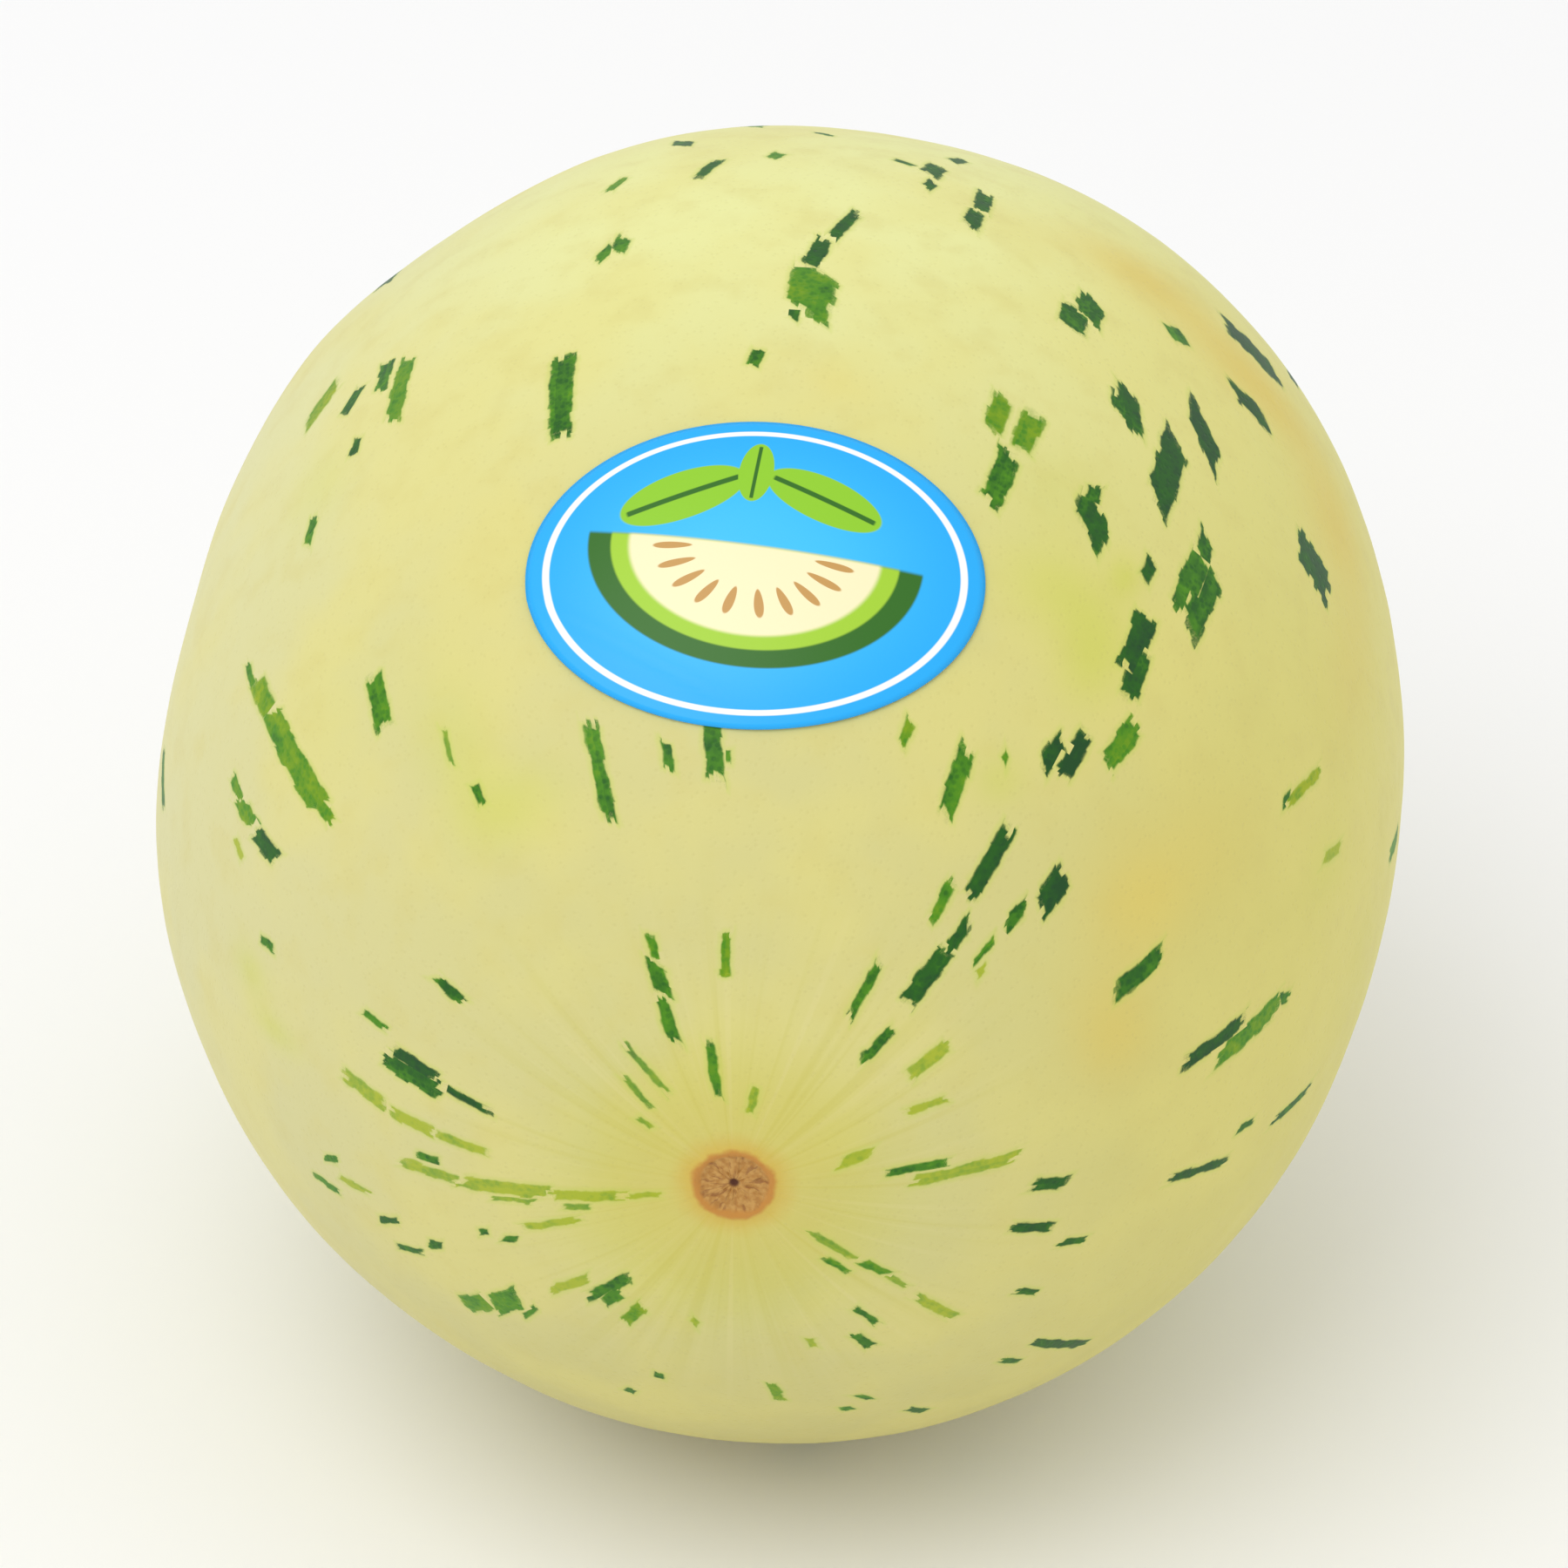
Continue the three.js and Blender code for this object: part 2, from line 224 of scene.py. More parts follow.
def direction_at_degrees(along, around):
    return direction_at(np.radians(np.asarray(along, float)), np.radians(np.asarray(around, float)))


def hump(angle, spread):
    """A smooth hump of height 1 at angle 0. The angle is in radians and the spread in degrees."""
    return np.exp(-((angle / math.radians(spread)) ** 2))


def smoothstep(low, high, value):
    share = np.clip((value - low) / (high - low), 0, 1)
    return share * share * (3 - 2 * share)


def radius_towards(direction):
    """Distance in millimetres from the fruit's centre to its rind in unit directions, without fine relief."""
    side = np.hypot(direction[:, 0], direction[:, 2])
    along = np.abs(direction[:, 1]) / HALF_LENGTH
    radius = (along ** FULLNESS + (side / GIRTH_RADIUS) ** FULLNESS) ** (-1 / FULLNESS)
    radius *= 1 + EGG * direction[:, 1]
    for swell_along, swell_around, height, spread in SWELLS:
        centre = direction_at_degrees(swell_along, swell_around)
        radius += height * hump(np.arccos(np.clip(direction @ centre, -1, 1)), spread)
    radius -= BLOSSOM_DIMPLE[0] * hump(np.arctan2(side, -direction[:, 1]), BLOSSOM_DIMPLE[1])
    radius -= STEM_DIMPLE[0] * hump(np.arctan2(side, direction[:, 1]), STEM_DIMPLE[1])
    return radius


def noise_at(points, scale, offset=0.0):
    """Smooth noise from -1 to 1 at points, with features about 1 / scale across."""
    shift = Vector((offset, offset, offset))
    return np.array([noise.noise(Vector(point) * scale + shift) for point in points])


def scar_relief(direction):
    """Height of the cork disc at the blossom end: a raised rim, radial cracks and a pit in the middle."""
    height = np.zeros(len(direction))
    side = np.hypot(direction[:, 0], direction[:, 2])
    near = np.flatnonzero((direction[:, 1] < 0) & (side * HALF_LENGTH < 2 * SCAR_RADIUS))
    distance = side[near] * HALF_LENGTH
    spoke = np.stack([direction[near, 0], direction[near, 2], 0 * near], 1) / np.maximum(side[near, None],
            1e-9)
    spoke[:, 2] = distance * 0.12
    cracks = smoothstep(0.1, 0.45, noise_at(spoke, 4.5)) * smoothstep(0.4, 1.2, distance)
    grain = noise_at(direction[near] * HALF_LENGTH, 1.6, 9)
    inside = 1 - smoothstep(SCAR_RADIUS - 0.7, SCAR_RADIUS + 0.1, distance)
    rim = np.exp(-(((distance - SCAR_RADIUS - 0.35) / 0.5) ** 2))
    pit = np.exp(-((distance / 0.5) ** 2))
    height[near] = 0.14 * rim - inside * (0.28 + 0.16 * cracks - 0.08 * grain + 0.3 * pit)
    return height


def level(points):
    """Levels the underside off at the resting spot, with a soft turn into the round form."""
    above = points[:, 2] + GIRTH_RADIUS - SPOT_DEPTH
    turning = (above + SPOT_EASE) ** 2 / (4 * SPOT_EASE)
    eased = np.where(above >= SPOT_EASE, above, np.where(above <= -SPOT_EASE, 0, turning))
    return np.column_stack([points[:, :2], eased - GIRTH_RADIUS + SPOT_DEPTH])


def on_rind(direction, height=0.0):
    """Points of the rind in millimetres from the fruit's centre, raised by a height."""
    return direction * (radius_towards(direction) + height)[:, None]


def to_scene(points):
    """Points in millimetres from the fruit's centre, as Blender's coordinates."""
    return np.asarray(points) * MM + np.array(CENTRE)


def grid_faces(rows, columns):
    """Faces of a grid of rows that close round on themselves."""
    row, column = np.meshgrid(np.arange(rows - 1), np.arange(columns), indexing="ij")
    following = (column + 1) % columns
    corners = [row * columns + column, row * columns + following,
               (row + 1) * columns + following, (row + 1) * columns + column]
    return np.stack(corners, -1).reshape(-1, 4)


def new_object(name, points, faces):
    mesh = bpy.data.meshes.new(name)
    mesh.from_pydata(to_scene(points).tolist(), [], faces)
    mesh.shade_smooth()
    made = bpy.data.objects.new(name, mesh)
    bpy.context.scene.collection.objects.link(made)
    return made


def store(mesh, name, kind, domain, values):
    """Keeps values on a mesh, for a material to read by name."""
    field = "value" if kind == "FLOAT" else "vector"
    attribute = mesh.attributes.new(name, kind, domain)
    attribute.data.foreach_set(field, np.asarray(values, np.float32).ravel())


# ---- Flecks ----

def hidden_flecks(random):
    """Flecks for the side that the camera doesn't see, drawn at random."""
    azimuth, elevation = math.radians(VIEW_AZIMUTH), math.radians(VIEW_ELEVATION)
    towards_camera = np.array([math.sin(azimuth) * math.cos(elevation),
            -math.cos(azimuth) * math.cos(elevation),
                               math.sin(elevation)])
    made = []
    while len(made) < HIDDEN_FLECKS:
        along = math.degrees(math.acos(random.uniform(-0.97, 0.97)))
        around = random.uniform(-180, 180)
        length = float(np.clip(math.exp(random.normal(1.5, 0.55)), 1.2, 16))
        share = random.uniform(0.2, 0.6)
        tint = float(np.clip(random.normal(0.3, 0.22), 0, 0.9))
        drift = random.normal(0, 1.2)
        direction = direction_at_degrees(along, around)
        thinning = 0.6 * noise.noise(Vector(direction) * 2.2) + 0.5
        if direction @ towards_camera > HIDDEN_BELOW or random.random() > 1.6 * thinning:
            continue
        towards_end = abs(along - 90) / 90
        width = float(np.clip(length * share * (1 - 0.5 * towards_end), 0.7, 4.6))
        reach = length * 0.4
        made.append((along - reach, around, along + reach, around + drift, width, tint))
    return made


def fleck_frames(flecks, random):
    """Each fleck's middle, directions across and along it, half sizes, tint, slant and seed, in
    millimetres."""
    table = np.array(flecks, float)
    near = on_rind(direction_at_degrees(table[:, 0], table[:, 1]))
    far = on_rind(direction_at_degrees(table[:, 2], table[:, 3]))
    middle = (near + far) / 2
    length = np.linalg.norm(far - near, axis=1)
    along = (far - near) / length[:, None]
    across = np.cross(along, middle)
    across /= np.linalg.norm(across, axis=1)[:, None]
    slant = FLECK_SLANT + FLECK_SLANT_SPREAD * random.standard_normal(len(table))
    size = np.column_stack([table[:, 4] / 2 + FLECK_MARGIN, length / 2 + FLECK_MARGIN, table[:, 5]])
    return middle, across, along, size, slant, random.uniform(0, 60, len(table))


def nearest_fleck(points, middle, across, along, size):
    """The number of the fleck that is nearest to each point."""
    nearest = np.zeros(len(points), int)
    least = np.full(len(points), np.inf)
    for number in range(len(middle)):
        offset = points - middle[number]
        beside = np.abs(offset @ across[number]) - size[number, 0]
        beyond = np.abs(offset @ along[number]) - size[number, 1]
        distance = np.where(points @ middle[number] > 0, np.maximum(beside, beyond), np.inf)
        closer = distance < least
        nearest[closer], least[closer] = number, distance[closer]
    return nearest


def store_flecks(mesh, points):
    """Gives each face the place of its corners beside the nearest fleck, and that fleck's size and tint."""
    random = np.random.default_rng(FLECK_SEED)
    seen = FLECKS + FAINT_FLECKS
    flecks = seen + hidden_flecks(random)
    strength = np.ones(len(flecks))
    strength[len(FLECKS):len(seen)] = FAINT_STRENGTH
    middle, across, along, size, slant, seed = fleck_frames(flecks, random)

    corner_vertex = np.zeros(len(mesh.loops), int)
    mesh.loops.foreach_get("vertex_index", corner_vertex)
    corners_each = np.zeros(len(mesh.polygons), int)
    mesh.polygons.foreach_get("loop_total", corners_each)
    face = np.repeat(np.arange(len(mesh.polygons)), corners_each)
    corner_points = points[corner_vertex]
    centres = np.stack([np.bincount(face, corner_points[:, axis]) for axis in range(3)],
            1) / corners_each[:, None]

    chosen = nearest_fleck(centres, middle, across, along, size)[face]
    offset = corner_points - middle[chosen]
    u = np.einsum("ij,ij->i", offset, across[chosen])
    v = np.einsum("ij,ij->i", offset, along[chosen]) - slant[chosen] * u
    store(mesh, "fleck_place", "FLOAT_VECTOR", "CORNER", np.stack([u, v, seed[chosen]], 1))
    store(mesh, "fleck_size", "FLOAT_VECTOR", "CORNER", size[chosen])
    store(mesh, "fleck_strength", "FLOAT", "CORNER", strength[chosen])


def stain(direction, patches):
    """How strongly a set of soft patches stains the rind in each direction."""
    along = np.degrees(np.arccos(np.clip(-direction[:, 1], -1, 1)))
    around = np.degrees(np.arctan2(direction[:, 0], direction[:, 2]))
    total = np.zeros(len(direction))
    for patch_along, patch_around, spread_along, spread_around, strength in patches:
        turn = (around - patch_around + 180) % 360 - 180
        beside = turn * math.sin(math.radians(patch_along)) / spread_around
        total += strength * np.exp(-(((along - patch_along) / spread_along) ** 2) - beside ** 2)
    return np.clip(total, 0, 1)


# ---- Pieces ----

def rind_piece():
    """The rind as one fine closed surface, with the relief and the patterns that its material reads."""
    even = np.arange(1, RIND_ROWS) * math.pi / RIND_ROWS
    along = even - RIND_CROWDING / 2 * np.sin(2 * even)
    around = np.arange(RIND_COLUMNS) * 2 * math.pi / RIND_COLUMNS
    grid = direction_at(along[:, None], around[None, :]).reshape(-1, 3)
    direction = np.vstack([grid, [[0, -1, 0], [0, 1, 0]]])
    lumps = 0.12 * noise_at(direction, 5) + 0.05 * noise_at(direction, 14, 3)
    points = level(on_rind(direction, lumps + scar_relief(direction)))

    faces = grid_faces(RIND_ROWS - 1, RIND_COLUMNS).tolist()
    blossom, stem = len(grid), len(grid) + 1
    last_row = (RIND_ROWS - 2) * RIND_COLUMNS
    for column in range(RIND_COLUMNS):
        following = (column + 1) % RIND_COLUMNS
        faces.append([blossom, following, column])
        faces.append([stem, last_row + column, last_row + following])
    rind = new_object("melon_rind", points, faces)
    store_flecks(rind.data, points)
    store(rind.data, "lime_stain", "FLOAT", "POINT", stain(direction, LIME_STAINS))
    store(rind.data, "warm_stain", "FLOAT", "POINT", stain(direction, WARM_STAINS))
    return rind


def label_directions(across, towards):
    """Directions of the places on the label, its flat print wrapped round the fruit."""
    middle = direction_at_degrees(LABEL_ALONG, 0)
    right = np.array([1.0, 0, 0])
    distance = np.maximum(np.hypot(across, towards), 1e-6)
    heading = (across[:, None] * right + towards[:, None] * np.cross(middle, right)) / distance[:, None]
    turn = (distance / radius_towards(middle[None])[0])[:, None]
    return middle * np.cos(turn) + heading * np.sin(turn)


def label_piece():
    """The paper label: an upper face, an edge and an under face, with one crease at the lower left."""
    share = np.concatenate([np.arange(1, LABEL_RINGS + 1), np.arange(LABEL_RINGS, 0, -1)]) / LABEL_RINGS
    turn = np.arange(LABEL_COLUMNS) * 2 * math.pi / LABEL_COLUMNS
    across = np.append(np.outer(share, np.cos(turn)).ravel() * LABEL_HALF_WIDTH, [0, 0])
    towards = np.append(np.outer(share, np.sin(turn)).ravel() * LABEL_HALF_HEIGHT, [0, 0])
    crease = np.exp(-(((0.45 * across + 0.89 * towards + 14) / 0.7) ** 2)) * smoothstep(3, -5, across)
    upper = np.arange(len(across)) < LABEL_RINGS * LABEL_COLUMNS
    upper[-2] = True
    height = LABEL_LIFT - LABEL_THICKNESS * ~upper + 0.18 * crease
    points = on_rind(label_directions(across, towards), height)
    faces = grid_faces(len(share), LABEL_COLUMNS).tolist()
    last_row = (len(share) - 1) * LABEL_COLUMNS
    for column in range(LABEL_COLUMNS):
        following = (column + 1) % LABEL_COLUMNS
        faces.append([len(points) - 2, column, following])
        faces.append([len(points) - 1, last_row + following, last_row + column])
    faces = [face[::-1] if len(face) == 4 else face for face in faces]
    label = new_object("oval_paper_label", points, faces)
    store(label.data, "print_place", "FLOAT_VECTOR", "POINT", np.stack([across, towards, 0 * across], 1))
    return label


def stub_piece():
    """The dried stem: five ribs, a foot that flares into the rind and a rough cut end."""
    seat = radius_towards(np.array([[0.0, 1.0, 0.0]]))[0] - 0.4
    share = np.append(np.linspace(0, 1, STUB_ROWS), np.ones(STUB_CUT_RINGS))
    inward = np.append(np.ones(STUB_ROWS), np.linspace(0.94, 0.06, STUB_CUT_RINGS))
    turn = np.arange(STUB_COLUMNS) * 2 * math.pi / STUB_COLUMNS
    radius = STUB_RADIUS + (STUB_FOOT - STUB_RADIUS) * (1 - share) ** 4 + (STUB_CUT - STUB_RADIUS) * share ** 4
    ring = (radius * inward)[:, None] * (1 + STUB_RIB_SHARE * np.cos(STUB_RIBS * turn))[None]
    x = ring * np.sin(turn) + (STUB_LEAN * share ** 2)[:, None]
    y = seat + (STUB_LENGTH + 0.7) * share[:, None] + np.zeros_like(ring)
    points = np.stack([x, y, ring * np.cos(turn)], -1).reshape(-1, 3)
    fibres = noise_at(points * [1, 0.15, 1], 1.1)
    outward = points * [1, 0, 1] / np.maximum(np.hypot(points[:, 0], points[:, 2]), 1)[:, None]
    points += outward * (0.3 * fibres)[:, None]
    cut = np.repeat(inward < 1, STUB_COLUMNS)
    points[cut, 1] -= 0.35 + 0.3 * noise_at(points[cut], 1.3, 5)
    faces = [face[::-1] for face in grid_faces(len(share), STUB_COLUMNS).tolist()]
    last_row = (len(share) - 1) * STUB_COLUMNS
    faces.append(list(range(STUB_COLUMNS)))
    faces.append(list(range(last_row, last_row + STUB_COLUMNS))[::-1])
    return new_object("dried_stem_stub", points, faces)


# ---- Materials ----

def srgb(red, green, blue):
    """A colour given as it shows on a screen, from 0 to 255, as a linear one."""
    return [(channel / 255) ** 2.2 for channel in (red, green, blue)] + [1]


class Shader:
    """A material's nodes, with short calls for the ones used here. Values are numbers, colours or sockets."""

    def __init__(self, name):
        self.material = bpy.data.materials.new(name)
        self.material.use_nodes = True
        self.nodes = self.material.node_tree.nodes
        self.links = self.material.node_tree.links
        self.surface = self.nodes["Principled BSDF"]

    def feed(self, socket, value):
        if isinstance(value, bpy.types.NodeSocket):
            self.links.new(value, socket)
        else:
            socket.default_value = value

    def math(self, operation, *values):
        node = self.nodes.new("ShaderNodeMath")
        node.operation = operation
        for socket, value in zip(node.inputs, values):
            self.feed(socket, value)
        return node.outputs[0]

    def total(self, *values):
        """The sum of several values."""
        result = values[0]
        for value in values[1:]:
            result = self.math("ADD", result, value)
        return result

    def vector(self, operation, *values):
        node = self.nodes.new("ShaderNodeVectorMath")
        node.operation = operation
        for socket, value in zip(node.inputs, values):
            self.feed(socket, value)
        return node.outputs[0]

    def scaled(self, vector, factor):
        node = self.nodes.new("ShaderNodeVectorMath")
        node.operation = "SCALE"
        self.feed(node.inputs[0], vector)
        self.feed(node.inputs["Scale"], factor)
        return node.outputs[0]

    def parts(self, vector):
        node = self.nodes.new("ShaderNodeSeparateXYZ")
        self.feed(node.inputs[0], vector)
        return list(node.outputs)

    def joined(self, x, y, z):
        node = self.nodes.new("ShaderNodeCombineXYZ")
        for socket, value in zip(node.inputs, (x, y, z)):
            self.feed(socket, value)
        return node.outputs[0]

    def step(self, value, low, high):
        """0 below low, 1 above high and a smooth rise between. Low may be the larger, for a fall."""
        node = self.nodes.new("ShaderNodeMapRange")
        node.interpolation_type = "SMOOTHSTEP"
        for name, number in (("Value", value), ("From Min", low), ("From Max", high)):
            self.feed(node.inputs[name], number)
        return node.outputs[0]

    def mix(self, share, first, second):
        """A colour between two."""
        node = self.nodes.new("ShaderNodeMix")
        node.data_type = "RGBA"
        self.feed(node.inputs[0], share)
        self.feed(node.inputs[6], first)
        self.feed(node.inputs[7], second)
        return node.outputs[2]

    def ramp(self, value, *stops):
        """A colour that runs through stops, each a position and a colour."""
        node = self.nodes.new("ShaderNodeValToRGB")
        elements = node.color_ramp.elements
        while len(elements) < len(stops):
            elements.new(1)
        for element, (position, colour) in zip(elements, stops):
            element.position, element.color = position, colour
        self.feed(node.inputs[0], value)
        return node.outputs["Color"]

    def noise(self, place, scale, detail=2.0):
        node = self.nodes.new("ShaderNodeTexNoise")
        self.feed(node.inputs["Vector"], place)
        node.inputs["Scale"].default_value = scale
        node.inputs["Detail"].default_value = detail
        return node.outputs

    def cells(self, place, scale):
        """Distance to the nearest of scattered points."""
        node = self.nodes.new("ShaderNodeTexVoronoi")
        self.feed(node.inputs["Vector"], place)
        node.inputs["Scale"].default_value = scale
        return node.outputs["Distance"]

    def chance(self, place):
        """Three unrelated values from 0 to 1 for each place."""
        node = self.nodes.new("ShaderNodeTexWhiteNoise")
        self.feed(node.inputs["Vector"], place)
        return self.parts(node.outputs["Color"])

    def stored(self, name, output="Vector"):
        node = self.nodes.new("ShaderNodeAttribute")
        node.attribute_name = name
        return node.outputs[output]

    def millimetres(self):
        """Place on the piece in millimetres from the fruit's centre."""
        node = self.nodes.new("ShaderNodeTexCoord")
        centred = self.vector("SUBTRACT", node.outputs["Object"], list(CENTRE))
        return self.scaled(centred, 1 / MM)

    def bump(self, height, distance, strength=1.0):
        node = self.nodes.new("ShaderNodeBump")
        node.inputs["Distance"].default_value = distance
        node.inputs["Strength"].default_value = strength
        self.feed(node.inputs["Height"], height)
        self.feed(self.surface.inputs["Normal"], node.outputs[0])

    def in_oval(self, place, middle, radii, turn=0):
        """Place as seen from an oval's middle, in shares of its two radii."""
        node = self.nodes.new("ShaderNodeMapping")
        node.vector_type = "TEXTURE"
        self.feed(node.inputs["Vector"], place)
        node.inputs["Location"].default_value = (*middle, 0)
        node.inputs["Rotation"].default_value = (0, 0, math.radians(turn))
        node.inputs["Scale"].default_value = (*radii, 1)
        return node.outputs[0]

    def reach(self, place):
        """Distance of a place from its origin."""
        node = self.nodes.new("ShaderNodeVectorMath")
        node.operation = "LENGTH"
        self.feed(node.inputs[0], place)
        return node.outputs["Value"]

    def finish(self, colour, roughness, **constants):
        self.feed(self.surface.inputs["Base Color"], colour)
        self.feed(self.surface.inputs["Roughness"], roughness)
        for name, value in constants.items():
            self.surface.inputs[name.replace("_", " ")].default_value = value
        return self.material


def fleck_mask(shader, place):
    """How far a fleck covers the rind, and its tint. A fleck is made of narrow strips of unequal length."""
    u, v, seed = shader.parts(shader.stored("fleck_place"))
    half_width, half_length, tint = shader.parts(shader.stored("fleck_size"))
    wander = shader.parts(shader.noise(place, 0.6, 2)["Color"])
    u = shader.math("MULTIPLY_ADD", shader.math("SUBTRACT", wander[0], 0.5), 0.7, u)
    v = shader.math("MULTIPLY_ADD", shader.math("SUBTRACT", wander[1], 0.5), 0.9, v)

    strip_width = shader.math("MINIMUM",
            shader.math("MAXIMUM", shader.math("MULTIPLY", half_width, 0.45), 0.4), 0.9)
    strip = shader.math("FLOOR", shader.math("DIVIDE", u, strip_width))
    ends = shader.chance(shader.joined(strip, seed, 0))
    block = shader.math("FLOOR", shader.math("DIVIDE", v, 1.5))
    sides = shader.chance(shader.joined(block, seed, shader.math("SIGN", u)))

    cut = shader.math("MINIMUM", shader.math("MULTIPLY", half_length, 0.35), 1.5)
    far_end = shader.math("SUBTRACT",
            shader.math("SUBTRACT", half_length, shader.math("MULTIPLY", ends[0], cut)), v)
    near_end = shader.math("ADD",
            shader.math("SUBTRACT", half_length, shader.math("MULTIPLY", ends[1], cut)), v)
    inset = shader.math("MULTIPLY", shader.math("MULTIPLY", sides[0], half_width), 0.28)
    side = shader.math("SUBTRACT", shader.math("SUBTRACT", half_width, inset), shader.math("ABSOLUTE", u))
    depth = shader.math("MINIMUM", side, shader.math("MINIMUM", far_end, near_end))
    return depth, shader.math("MULTIPLY_ADD", shader.math("SUBTRACT", ends[2], 0.5), 0.12, tint)


def rind_colour_and_shade(shader, place):
    """The pale skin under the flecks: cream and yellow, faintly mottled, lined towards the two ends, with
    painted shade darkening it towards the bottom.
    """
    broad = shader.noise(place, 0.045, 3)["Fac"]
    middling = shader.noise(place, 0.2, 3)["Fac"]
    x, y, z = shader.parts(place)
    colour = shader.mix(shader.step(y, 15, -62), srgb(229, 230, 156), srgb(206, 200, 133))
    colour = shader.mix(shader.math("MULTIPLY", shader.step(x, -10, -68), 0.65), colour,
            srgb(212, 207, 154))
    colour = shader.mix(shader.math("MULTIPLY", shader.step(x, 10, 70), 0.7), colour, srgb(214, 203, 98))
    # Painted shade: the rind darkens towards the bottom of the fruit, and also turns a more saturated yellow
    # there.
    colour = shader.mix(shader.math("MULTIPLY", shader.step(z, -10, -65), 0.5), colour, srgb(190, 178, 88))
    colour = shader.mix(shader.math("MULTIPLY", shader.step(broad, 0.4, 0.65), 0.4), colour,
            srgb(222, 212, 122))
    colour = shader.mix(shader.math("MULTIPLY", shader.step(middling, 0.45, 0.75), 0.25), colour,
            srgb(206, 194, 112))
    colour = shader.mix(shader.math("MULTIPLY", shader.stored("lime_stain", "Fac"), 0.5), colour,
            srgb(194, 202, 66))
    colour = shader.mix(shader.math("MULTIPLY", shader.stored("warm_stain", "Fac"), 0.65), colour,
            srgb(220, 190, 80))

    distance = shader.math("SQRT",
            shader.total(shader.math("MULTIPLY", x, x), shader.math("MULTIPLY", z, z)))
    spoke_x = shader.math("MULTIPLY", shader.math("DIVIDE", x, distance), 16)
    spoke_z = shader.math("MULTIPLY", shader.math("DIVIDE", z, distance), 16)
    rays = shader.noise(shader.joined(spoke_x, spoke_z, shader.math("MULTIPLY", y, 0.03)), 1, 3)["Fac"]
    fade = shader.step(distance, 42, 8)
    ray_share = shader.math("MULTIPLY", shader.math("MULTIPLY", shader.step(rays, 0.5, 0.72), fade), 0.35)
    colour = shader.mix(ray_share, colour, srgb(190, 184, 78))
    pale_share = shader.math("MULTIPLY", shader.math("MULTIPLY", shader.step(rays, 0.44, 0.3), fade), 0.25)
    colour = shader.mix(pale_share, colour, srgb(224, 214, 156))

    pores = shader.cells(place, 1.25)
    colour = shader.mix(shader.math("MULTIPLY", shader.step(pores, 0.3, 0.05), 0.14), colour,
            srgb(190, 180, 110))
    return colour, rays, fade, distance


def end_scars(shader, colour, place, distance):
    """The cork disc at the blossom end and the ring of cork round the stem."""
    x, y, z = shader.parts(place)
    wobble = shader.math("MULTIPLY", shader.math("SUBTRACT", shader.noise(place, 0.5, 2)["Fac"], 0.5), 1.2)
    reach = shader.math("ADD", distance, wobble)
    blossom = shader.math("LESS_THAN", y, 0)
    stem = shader.math("SUBTRACT", 1, blossom)
    spoke = shader.joined(shader.math("DIVIDE", x, distance), shader.math("DIVIDE", z, distance),
                          shader.math("MULTIPLY", distance, 0.12))
    cracks = shader.noise(spoke, 5, 3)["Fac"]
    grain = shader.noise(place, 1.4, 4)["Fac"]

    glow = shader.math("MULTIPLY", shader.math("MULTIPLY", shader.step(reach, 22, 6), blossom), 0.5)
    colour = shader.mix(glow, colour, srgb(200, 186, 80))
    halo = shader.math("MULTIPLY", shader.math("MULTIPLY", shader.step(reach, 7.5, 4.0), blossom), 0.75)
    colour = shader.mix(halo, colour, srgb(206, 170, 68))
    ring = shader.math("MULTIPLY", shader.step(reach, 4.8, 4.1), blossom)
    colour = shader.mix(ring, colour, srgb(190, 132, 60))
    cork = shader.mix(shader.step(grain, 0.35, 0.65), srgb(194, 148, 82), srgb(172, 122, 60))
    cork = shader.mix(shader.math("MULTIPLY", shader.step(cracks, 0.52, 0.66), 0.6), cork,
            srgb(128, 78, 42))
    cork = shader.mix(shader.step(distance, 0.75, 0.3), cork, srgb(84, 44, 24))
    colour = shader.mix(shader.math("MULTIPLY", shader.step(reach, 3.9, 3.4), blossom), colour, cork)

    collar = shader.math("MULTIPLY", shader.math("MULTIPLY", shader.step(reach, 12, 7), stem), 0.8)
    colour = shader.mix(collar, colour, srgb(204, 180, 104))
    collar_cracks = shader.math("MULTIPLY", shader.step(cracks, 0.5, 0.62), shader.step(reach, 9.5, 7.5))
    return shader.mix(shader.math("MULTIPLY", collar_cracks, stem), colour, srgb(150, 116, 62))


def rind_material():
    shader = Shader("flecked_rind")
    place = shader.millimetres()
    colour, rays, fade, distance = rind_colour_and_shade(shader, place)
    colour = end_scars(shader, colour, place, distance)

    depth, tint = fleck_mask(shader, place)
    strength = shader.stored("fleck_strength", "Fac")
    mottle = shader.noise(place, 0.42, 3)["Fac"]
    speckle = shader.cells(place, 1.5)
    tint = shader.math("MULTIPLY_ADD", shader.math("SUBTRACT", mottle, 0.5), 0.7, tint)
    tint = shader.math("MULTIPLY_ADD", shader.step(speckle, 0.25, 0.6), 0.1, tint)
    green = shader.ramp(tint, (0.0, srgb(26, 72, 30)), (0.3, srgb(36, 94, 16)), (0.55, srgb(74, 134, 14)),
                        (0.8, srgb(118, 154, 2)), (1.0, srgb(156, 172, 2)))
    cover = shader.math("MULTIPLY", shader.step(depth, -0.12, 0.16), strength)
    rim = shader.math("MULTIPLY", shader.math("MULTIPLY", shader.step(depth, -0.75, 0.0), strength), 0.4)
    colour = shader.mix(rim, colour, srgb(186, 202, 84))
    colour = shader.mix(cover, colour, green)

    pores = shader.cells(place, 1.25)
    relief = shader.math("MULTIPLY_ADD", shader.math("MULTIPLY", rays, fade), 0.8,
            shader.step(pores, 0.0, 0.4))
    shader.bump(relief, 0.03 * MM)
    roughness = shader.math("MULTIPLY_ADD", mottle, 0.12, 0.42)
    return shader.finish(colour, roughness, Specular_IOR_Level=0.3)


